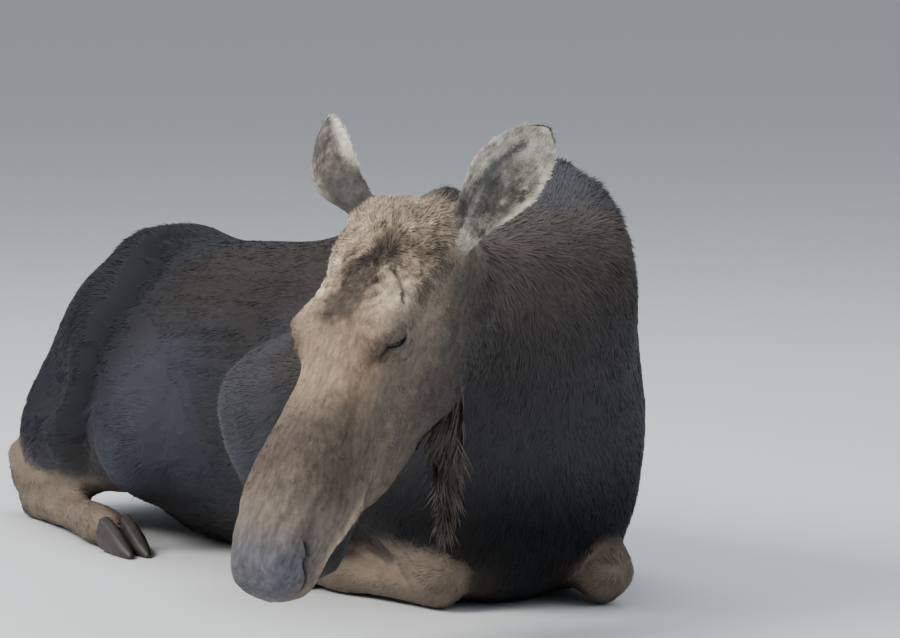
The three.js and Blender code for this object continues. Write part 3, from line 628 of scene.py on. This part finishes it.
    # legs: dark like the body down to the knee and hock, tan below
    leg = np.tile((0.150, 0.115, 0.087), (len(spots), 1)) * (1 + 0.2 * speckle(spots, 0.02, 18))[:, None]
    leg = blend(leg, (0.014, 0.0125, 0.0125), step(z, 0.085, 0.13) * step(x, -0.765, -0.70))
    bell = np.tile((0.082, 0.068, 0.057), (len(spots), 1)) * (1 + 0.3 * speckle(spots, 0.015, 19))[:, None]
    tail = np.tile((0.016, 0.0135, 0.013), (len(spots), 1))
    mixed = np.zeros((len(spots), 3))
    for name, colour in (("trunk", body), ("neck", neck), ("face", face), ("ear", ear), ("leg", leg),
                         ("bell", bell), ("tail", tail)):
        mixed += part[name][:, None] * colour
    return np.clip(mixed, 0.0025, 1)


def give_colour(mesh, rgb):
    layer = mesh.attributes.new("coat", "FLOAT_COLOR", "POINT")
    rgba = np.ones((len(rgb), 4), np.float32)
    rgba[:, :3] = rgb
    layer.data.foreach_set("color", rgba.ravel())


def coat_material(name, roughness, grain, relief, softness):
    """Dull hair: the coat's own colour, a fine grain, and a faint sheen of fibre."""
    paint = bpy.data.materials.new(name)
    paint.use_nodes = True
    nodes, links = paint.node_tree.nodes, paint.node_tree.links
    shader = nodes["Principled BSDF"]
    shader.inputs["Roughness"].default_value = roughness
    shader.inputs["Specular IOR Level"].default_value = 0.2
    shader.inputs["Sheen Weight"].default_value = softness
    shader.inputs["Sheen Roughness"].default_value = 0.55
    shader.inputs["Sheen Tint"].default_value = (0.75, 0.83, 1.0, 1.0)
    colour = nodes.new("ShaderNodeAttribute")
    colour.attribute_name = "coat"
    place_node = nodes.new("ShaderNodeTexCoord")
    noise = nodes.new("ShaderNodeTexNoise")
    noise.inputs["Scale"].default_value = 1 / grain
    noise.inputs["Detail"].default_value = 3.0
    ramp = nodes.new("ShaderNodeMapRange")
    ramp.inputs["To Min"].default_value = 0.72
    ramp.inputs["To Max"].default_value = 1.28
    mix = nodes.new("ShaderNodeVectorMath")
    mix.operation = "SCALE"
    lift = nodes.new("ShaderNodeBump")
    lift.inputs["Strength"].default_value = 0.6
    lift.inputs["Distance"].default_value = relief
    links.new(place_node.outputs["Object"], noise.inputs["Vector"])
    links.new(noise.outputs["Fac"], ramp.inputs["Value"])
    links.new(colour.outputs["Color"], mix.inputs[0])
    links.new(ramp.outputs["Result"], mix.inputs["Scale"])
    links.new(mix.outputs["Vector"], shader.inputs["Base Color"])
    links.new(noise.outputs["Fac"], lift.inputs["Height"])
    links.new(lift.outputs["Normal"], shader.inputs["Normal"])
    return paint


part = region_weights(spots, ends, 4)
# the neck's coat runs over into the trunk's by slow degrees
mingled = np.stack([part["trunk"], part["neck"]], 1)
for _ in range(160):
    mingled = 0.4 * mingled + 0.6 * neighbour_mean(mingled, ends)
both = part["trunk"] + part["neck"]
part["neck"] = both * mingled[:, 1] / (mingled.sum(axis=1) + 1e-9)
part["trunk"] = both - part["neck"]
hide_normals = normals_of(hide.data)
hide_rgb = coat_colour(spots, hide_normals, part)
# the lids' own dark skin, with painted shade of the lashes and in the slit
hide_rgb = blend(hide_rgb, (0.012, 0.010, 0.010), lid_dark_and_lash_shade * 0.95)
# painted shade inside the nostrils
hide_rgb = blend(hide_rgb, (0.018, 0.016, 0.016), nostril_shade * 0.75)
# painted shade in the body's folds and behind the elbows
hide_rgb *= (1 - 0.65 * painted_fold_shade)[:, None]
give_colour(hide.data, hide_rgb)
hide.data.materials.clear()
hide.data.materials.append(coat_material("hide_and_underhair", 0.8, 0.0016, 0.0008, 0.0))
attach(hide, "root")
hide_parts(*flesh)

# ---- Eyes ----
# Each is a dark wet ball set in its orbit, of which the lids leave only a narrow strip to see.
cornea_depth = 0.006
for name, m in (("eye_left", 1), ("eye_right", -1)):
    work = bmesh.new()
    bmesh.ops.create_uvsphere(work, u_segments=40, v_segments=24, radius=ball)
    for vert in work.verts:                     # the cornea stands out a little
        if vert.co.z > ball - cornea_depth:
            vert.co.z += 0.0016 * (1 - (ball - vert.co.z) / cornea_depth) ** 2
    turn = eye_out[m].to_track_quat("Z", "Y").to_matrix()
    for vert in work.verts:
        vert.co = turn @ vert.co + eye_centre[m]
    mesh = bpy.data.meshes.new(name + "_ball")
    work.to_mesh(mesh)
    work.free()
    mesh.polygons.foreach_set("use_smooth", np.ones(len(mesh.polygons), bool))
    eye = place(name + "_ball", mesh)
    wet = bpy.data.materials.new(name + "_wet")
    wet.use_nodes = True
    shader = wet.node_tree.nodes["Principled BSDF"]
    shader.inputs["Roughness"].default_value = 0.22
    shader.inputs["Specular IOR Level"].default_value = 0.35
    spot = wet.node_tree.nodes.new("ShaderNodeTexCoord")
    mottle = wet.node_tree.nodes.new("ShaderNodeTexNoise")
    mottle.inputs["Scale"].default_value = 260.0
    tint = wet.node_tree.nodes.new("ShaderNodeValToRGB")
    tint.color_ramp.elements[0].color = (0.006, 0.004, 0.003, 1)
    tint.color_ramp.elements[1].color = (0.030, 0.018, 0.010, 1)
    wet.node_tree.links.new(spot.outputs["Object"], mottle.inputs["Vector"])
    wet.node_tree.links.new(mottle.outputs["Fac"], tint.inputs["Fac"])
    wet.node_tree.links.new(tint.outputs["Color"], shader.inputs["Base Color"])
    mesh.materials.append(wet)
    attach(eye, "root")
    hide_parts(name)

# ---- Hooves ----
# Each foot ends in two pointed claws of dark dull horn, ridged along the growth.
claws = [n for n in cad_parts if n.startswith("claw_")]
horn = bpy.data.materials.new("hoof_horn")
horn.use_nodes = True
shader = horn.node_tree.nodes["Principled BSDF"]
shader.inputs["Roughness"].default_value = 0.55
spot = horn.node_tree.nodes.new("ShaderNodeTexCoord")
growth = horn.node_tree.nodes.new("ShaderNodeTexNoise")
growth.inputs["Scale"].default_value = 90.0
growth.inputs["Detail"].default_value = 4.0
tint = horn.node_tree.nodes.new("ShaderNodeValToRGB")
tint.color_ramp.elements[0].color = (0.012, 0.010, 0.009, 1)
tint.color_ramp.elements[1].color = (0.040, 0.034, 0.029, 1)
ridges = horn.node_tree.nodes.new("ShaderNodeBump")
ridges.inputs["Distance"].default_value = 0.0008
horn.node_tree.links.new(spot.outputs["Object"], growth.inputs["Vector"])
horn.node_tree.links.new(growth.outputs["Fac"], tint.inputs["Fac"])
horn.node_tree.links.new(tint.outputs["Color"], shader.inputs["Base Color"])
horn.node_tree.links.new(growth.outputs["Fac"], ridges.inputs["Height"])
horn.node_tree.links.new(ridges.outputs["Normal"], shader.inputs["Normal"])
for name in claws:
    work = bmesh.new()
    work.from_mesh(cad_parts[name].data)
    bmesh.ops.remove_doubles(work, verts=work.verts, dist=1e-5)
    mesh = bpy.data.meshes.new(name + "_horn")
    work.to_mesh(mesh)
    work.free()
    mesh.polygons.foreach_set("use_smooth", np.ones(len(mesh.polygons), bool))
    hoof = place(name + "_horn", mesh)
    round_off = hoof.modifiers.new("round_off", "REMESH")
    round_off.mode = "VOXEL"
    round_off.voxel_size = 0.003
    even = hoof.modifiers.new("even", "SMOOTH")
    even.iterations = 6
    settled(hoof)
    hoof.data.polygons.foreach_set("use_smooth", np.ones(len(hoof.data.polygons), bool))
    hoof.data.materials.clear()
    hoof.data.materials.append(horn)
    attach(hoof, "root")
    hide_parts(name)

# ---- Coat ----
# Winter hair over the whole hide, in thin tufts that lie along the body: long over the hump
# and neck, coarse on the flanks, short and close on the face, ears and feet.
rng = np.random.default_rng(7)


def coat_lie(spots, normals, part):
    """Which way the hair points at each spot, before it is laid on the hide."""
    x, _, z = spots.T
    s, v, u = on_head(spots)
    one = np.ones(len(spots))
    down_way, out_way, left_way = np.array(face_down), np.array(face_out), np.array(face_left)
    downward = -0.30 - 0.5 * step(x, 0.35, 0.6) - 0.35 * (1 - step(x, -0.75, -0.55))
    body = np.stack([-one, 0 * one, downward], 1)
    hump = step(z, 0.55, 0.7)[:, None]
    body = body * (1 - hump) + hump * np.array([-0.75, 0.45, -0.35])
    neck = np.tile((-0.55, 0.50, -0.50), (len(spots), 1))
    # on the face it starts from a whorl between the brows and runs down the nose, round the cheeks
    whorl_way = (s - 0.126)[:, None] * down_way + (u - 0.028)[:, None] * left_way
    whorl_way /= np.maximum(np.linalg.norm(whorl_way, axis=1), 1e-4)[:, None]
    nose = step(s, 0.17, 0.24)[:, None]
    curl = 1.5 * speckle(spots, 0.020, 21) * bump(s, 0.11, 0.09) * step(v, -0.04, 0.01)
    whorl_way = whorl_way * np.cos(curl)[:, None] + np.cross(whorl_way, normals) * np.sin(curl)[:, None]
    sideways_way = (0.6 * np.sign(u) * step(np.abs(u), 0.02, 0.07))[:, None] * left_way
    face = whorl_way * (1 - nose) + (down_way + sideways_way) * nose
    cheek = (step(np.abs(u), 0.06, 0.095) * step(-v, -0.01, 0.04))[:, None]
    face = face * (1 - cheek) + (down_way * 0.35 - out_way * 0.9) * cheek
    jaw = (step(-v, 0.06, 0.12) * step(s, 0.30, 0.45))[:, None]
    face = face * (1 - jaw) - (down_way * 0.9 + out_way * 0.3) * jaw
    to_rim = np.clip(ear_place(spots, normals)[1], -1, 1)[:, None]
    ear_way = {m: (ear_tip[m] - ear_root[m]).normalized() for m in (1, -1)}
    fan = {m: np.array(ear_way[m]) + 0.25 * to_rim * np.array(ear_way[m].cross(ear_open[m])) for m in (1, -1)}
    ear = np.where((u > 0)[:, None], fan[1], fan[-1])
    # down each folded limb: the fore cannons lie under the forearms, the hind ones point forward
    folded_forward = np.where(x > -0.1, z > 0.085, z < 0.09)
    leg = np.stack([np.where(folded_forward, 1.0, -1.0), 0 * one, -0.25 * one], 1)
    hang = np.tile((-0.05, 0, -1.0), (len(spots), 1))
    lie = np.zeros((len(spots), 3))
    for name, way in (("trunk", body), ("neck", neck), ("face", face), ("ear", ear), ("leg", leg),
                      ("bell", hang), ("tail", hang)):
        lie += part[name][:, None] * way
    return lie


def unit(a):
    return a / np.maximum(np.linalg.norm(a, axis=1), 1e-9)[:, None]


def laid(way, normals):
    return unit(way - normals * np.sum(way * normals, axis=1)[:, None])


def hair_size(spots, normals, part):
    """Length, width and lift (radians) of a tuft at each spot."""
    x, _, z = spots.T
    s, v, u = on_head(spots)
    hump = step(z, 0.56, 0.70)
    creased = np.min([along_line(spots, brow_crease[m]) for m in (1, -1)], axis=0)
    thigh = bump(x, -0.42, 0.22) * step(z, 0.06, 0.14) * (1 - step(z, 0.38, 0.50))
    length = {"trunk": 0.031 + 0.010 * hump - 0.007 * thigh, "neck": 0.038 + 0.004 * hump,
              "bell": 0.070, "tail": 0.045, "leg": 0.016 + 0.010 * step(z, 0.1, 0.2)}
    forehead = step(0.20 - s, 0.0, 0.08) * step(v, -0.06, 0.0)
    by_eye = np.min([np.linalg.norm(spots - np.array(eye_centre[m]), axis=1) for m in (1, -1)], axis=0)
    length["face"] = (0.0085 + 0.006 * forehead + 0.018 * step(-v, 0.12, 0.21) * (1 - step(s, 0.3, 0.5))
                      - 0.0035 * step(s, 0.50, 0.66)) * (1 - 0.55 * (1 - step(by_eye, 0.024, 0.040)))
    length["face"] *= 1 - 0.6 * bump(creased, 0, 0.010)
    length["face"] += 0.012 * (1 - step(s, -0.012, 0.020)) * step(u, 0.030, 0.052)
    ear_up, ear_rim, ear_hollow = ear_place(spots, normals)
    at_edge = np.maximum(step(np.abs(ear_rim), 0.75, 0.95), step(ear_up, 0.84, 0.94))
    length["ear"] = (0.0075 + 0.005 * ear_hollow) * (1 - 0.5 * at_edge)
    width = {"trunk": 0.0022, "neck": 0.0020, "bell": 0.0030, "tail": 0.0030, "leg": 0.0022,
             "face": 0.0017, "ear": 0.0015}
    lift = {"trunk": 0.085 + 0.09 * hump - 0.02 * thigh, "neck": 0.15 + 0.04 * hump, "bell": 0.16,
            "tail": 0.14, "leg": 0.14, "ear": 0.22,
            "face": 0.14 + 0.50 * forehead - 0.04 * step(s, 0.5, 0.66)}
    return [sum(part[name] * of[name] for name in regions) for of in (length, width, lift)]


# a flat unwrap of the hide's own shape, on which each tuft has its small patch
chart = place("chart", mesh_from("chart", cad_spots, cad_faces))
coarse = chart.modifiers.new("coarse", "REMESH")
coarse.mode = "VOXEL"
coarse.voxel_size = 0.016
settled(chart)
bpy.context.view_layer.objects.active = chart
chart.select_set(True)
bpy.ops.object.mode_set(mode="EDIT")
bpy.ops.mesh.select_all(action="SELECT")
bpy.ops.uv.smart_project(angle_limit=1.15, island_margin=0.004)
bpy.ops.object.mode_set(mode="OBJECT")
chart.data.calc_loop_triangles()
chart_tris = np.zeros(len(chart.data.loop_triangles) * 3, int)
chart.data.loop_triangles.foreach_get("vertices", chart_tris)
chart_loops = np.zeros(len(chart_tris), int)
chart.data.loop_triangles.foreach_get("loops", chart_loops)
chart_uv = np.zeros(len(chart.data.loops) * 2)
chart.data.uv_layers.active.data.foreach_get("uv", chart_uv)
chart_uv = chart_uv.reshape(-1, 2)[chart_loops.reshape(-1, 3)]
chart_tris = chart_tris.reshape(-1, 3)
chart_points = points_of(chart.data)
chart_tree = BVHTree.FromPolygons(chart_points.tolist(), chart_tris.tolist())
bpy.data.objects.remove(chart)


def chart_place(roots):
    found = [chart_tree.find_nearest(p) for p in roots.tolist()]
    index = np.array([f[2] for f in found])
    at = np.array([tuple(f[0]) for f in found])
    a, b, c = (chart_points[chart_tris[index, i]] for i in range(3))
    whole = np.linalg.norm(np.cross(b - a, c - a), axis=1)
    wb = np.linalg.norm(np.cross(at - a, c - a), axis=1) / whole
    wc = np.linalg.norm(np.cross(b - a, at - a), axis=1) / whole
    uv = chart_uv[index]
    return uv[:, 0] + wb[:, None] * (uv[:, 1] - uv[:, 0]) + wc[:, None] * (uv[:, 2] - uv[:, 0])


def plant(spots, tris, density):
    """Roots scattered over the hide, evenly for each square metre: face and place on it."""
    corner = spots[tris]
    area = np.linalg.norm(np.cross(corner[:, 1] - corner[:, 0], corner[:, 2] - corner[:, 0]), axis=1) / 2
    load = np.cumsum(area * density[tris].mean(axis=1))
    count = int(load[-1])
    face = np.searchsorted(load, (np.arange(count) + rng.random(count)) * load[-1] / count)
    face = np.minimum(face, len(tris) - 1)
    a, b = rng.random(count), rng.random(count)
    over = a + b > 1
    a, b = np.where(over, 1 - a, a), np.where(over, 1 - b, b)
    return face, np.stack([1 - a - b, a, b], 1)


most_faces = 198000                 # in any one piece of the coat
patch_half = 0.0015                 # half the side of a tuft's place on the unwrap


def tufts(name, root, normal, lie, length, width, lift, bend, rgb, uv, stations, paint,
          follow, contrast):
    """Meshes of thin tapered blades, each bent towards the way the coat lies.

    follow is how much of the hide's own normal a blade takes on, contrast how far its colour goes
    from dark at the root, a painted shade between the hairs, to light at the tip.
    """
    count, rows = len(root), len(stations)
    side = unit(np.cross(lie, normal))
    roll = rng.normal(0, 0.25, count)[:, None]
    side = side * np.cos(roll) + normal * np.sin(roll)
    t = np.array([a for a, _ in stations])
    wide = np.array([b for _, b in stations])
    rise = np.sin(lift)[:, None] * t - (bend * np.sin(lift))[:, None] * t ** 2
    centre = (root[:, None, :] + lie[:, None, :] * (length[:, None] * t * np.cos(lift)[:, None])[:, :, None]
              + normal[:, None, :] * (length[:, None] * rise)[:, :, None])
    sway = rng.normal(0, 0.05, count)[:, None] * t ** 2 * length[:, None]
    centre = centre + np.cross(lie, normal)[:, None, :] * sway[:, :, None]
    half = (width[:, None] * wide / 2)[:, :, None] * side[:, None, :]
    left, right = (centre - half)[:, :-1], (centre + half)[:, :-1]
    points = np.concatenate([left, right, centre[:, -1:]], axis=1)      # rows-1 left, rows-1 right, tip
    per = 2 * (rows - 1) + 1
    points[:, :, 2] = np.maximum(points[:, :, 2], 0.0008)
    tri = []
    for i in range(rows - 2):
        tri += [(i, rows - 1 + i, rows + i), (i, rows + i, i + 1)]
    tri.append((rows - 2, 2 * (rows - 1) - 1, per - 1))
    tri = np.array(tri)
    faces = (tri[None, :, :] + (np.arange(count) * per)[:, None, None]).reshape(-1, 3)
    blade = unit(np.cross((centre[:, -1] - centre[:, 0]), side))
    blade *= np.sign(np.sum(blade * normal, axis=1))[:, None]
    soft = unit(normal * follow + blade * (1 - follow))
    # each blade painted darker at its root, as shade between the hairs, and lighter at its tip
    shade = np.concatenate([t[:-1], t[:-1], t[-1:]])
    shade = 1 + contrast * (2.6 * shade - 1.7)
    flicker = 1 + rng.normal(0, contrast, count)
    tone = rgb[:, None, :] * (shade[None, :] * np.clip(flicker, 0.6, 1.5)[:, None])[:, :, None]
    along, out = patch_half * (2 * t[:-1] - 1), patch_half * np.ones(rows - 1)
    offset = np.concatenate([np.stack([-out, along], 1), np.stack([out, along], 1), [[0.0, patch_half]]])
    patch = np.clip(uv, 0.002, 0.998)[:, None, :] + offset[None, :, :]
    each = most_faces // len(tri)
    for n, start in enumerate(range(0, count, each)):
        stop = min(start + each, count)
        corners = faces[start * len(tri):stop * len(tri)] - start * per
        mesh = mesh_from(f"{name}_{n + 1}", points[start:stop].reshape(-1, 3), corners)
        give_colour(mesh, np.clip(tone[start:stop], 0.002, 1).reshape(-1, 3))
        layer = mesh.uv_layers.new(name="OFBake")
        places = patch[start:stop].reshape(-1, 2)[corners.ravel()]
        layer.data.foreach_set("uv", places.astype(np.float32).ravel())
        way = np.repeat(soft[start:stop], per, axis=0)
        mesh.normals_split_custom_set_from_vertices(way)
        mesh.materials.append(paint)
        piece = place(f"{name}_{n + 1}", mesh)
        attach(piece, "root")


hide.data.calc_loop_triangles()
hide_tris = np.zeros(len(hide.data.loop_triangles) * 3, int)
hide.data.loop_triangles.foreach_get("vertices", hide_tris)
hide_tris = hide_tris.reshape(-1, 3)
spots = points_of(hide.data)
bare = np.clip(lid_dark_and_lash_shade + nostril_shade, 0, 1)
lip_bare = step(hs, 0.52, 0.54) * bump(hv, lip_height(hs), 0.005)
bare = np.clip(bare + lip_bare, 0, 1)
field = np.stack([part[name] for name in regions] + [bare, painted_fold_shade], 1)


def grown(name, share, per_area, paint, stations, unruly, follow, contrast):
    """The tufts of the parts of the hide that share picks out."""
    density = per_area * share * (1 - bare)
    face, w = plant(spots, hide_tris, density)
    mix = lambda a: np.einsum("nc,ncd->nd", w, a[hide_tris[face]])
    root, normal, values = mix(spots), unit(mix(hide_normals)), mix(field)
    mine = {region: values[:, i] for i, region in enumerate(regions)}
    length, width, lift = hair_size(root, normal, mine)
    way = unit(coat_lie(root, normal, mine))
    lie = laid(way, normal)
    flat = np.sqrt(np.clip(1 - np.sum(way * normal, axis=1) ** 2, 0, 1))
    length = length * (1 - 0.8 * mine["bell"] * (1 - step(flat, 0.3, 0.8)))
    across = np.cross(lie, normal)
    turn = (unruly[0] * speckle(root, 0.035, 31) + unruly[1] * speckle(root, 0.010, 32)
            + rng.normal(0, unruly[2], len(root)))
    lie = lie * np.cos(turn)[:, None] + across * np.sin(turn)[:, None]
    length = length * (1 + 0.25 * speckle(root, 0.016, 33) + rng.normal(0, 0.12, len(root)))
    lift = np.clip(lift * (1 + 0.35 * speckle(root, 0.013, 34) + rng.normal(0, 0.2, len(root))), 0.04, 1.2)
    # the tufts take the same painted shade in the folds
    rgb = coat_colour(root, normal, mine) * (1 - 0.62 * values[:, -1])[:, None]
    bend = np.clip(0.75 + rng.normal(0, 0.2, len(root)), 0.2, 1.3)
    width = width * rng.uniform(0.7, 1.3, len(root))
    tufts(name, root - normal * 0.0006, normal, lie, np.clip(length, 0.002, 0.2), width, lift, bend, rgb,
          chart_place(root), stations, paint, follow, contrast)


long_blade = [(0.0, 0.8), (0.4, 1.0), (0.78, 0.62), (1.0, 0.0)]
short_blade = [(0.0, 1.0), (0.55, 0.8), (1.0, 0.0)]
body_hair = coat_material("body_hair", 0.62, 0.0012, 0.0004, 0.02)
face_hair = coat_material("face_hair", 0.72, 0.0010, 0.0003, 0.05)
grown("body_coat", part["trunk"], 79000, body_hair, short_blade, (0.20, 0.14, 0.10), 0.88, 0.07)
grown("neck_coat", part["neck"], 190000, body_hair, short_blade, (0.35, 0.30, 0.18), 0.80, 0.11)
grown("face_coat", part["face"], 320000, face_hair, short_blade, (0.30, 0.30, 0.20), 0.70, 0.26)
grown("ear_coat", part["ear"], 290000, face_hair, short_blade, (0.3, 0.35, 0.3), 0.70, 0.14)
grown("leg_coat", part["leg"], 62000, face_hair, short_blade, (0.2, 0.2, 0.15), 0.80, 0.10)
grown("bell_coat", part["bell"], 130000, body_hair, long_blade, (0.2, 0.25, 0.15), 0.65, 0.14)
grown("tail_coat", part["tail"], 80000, body_hair, long_blade, (0.1, 0.15, 0.12), 0.70, 0.10)
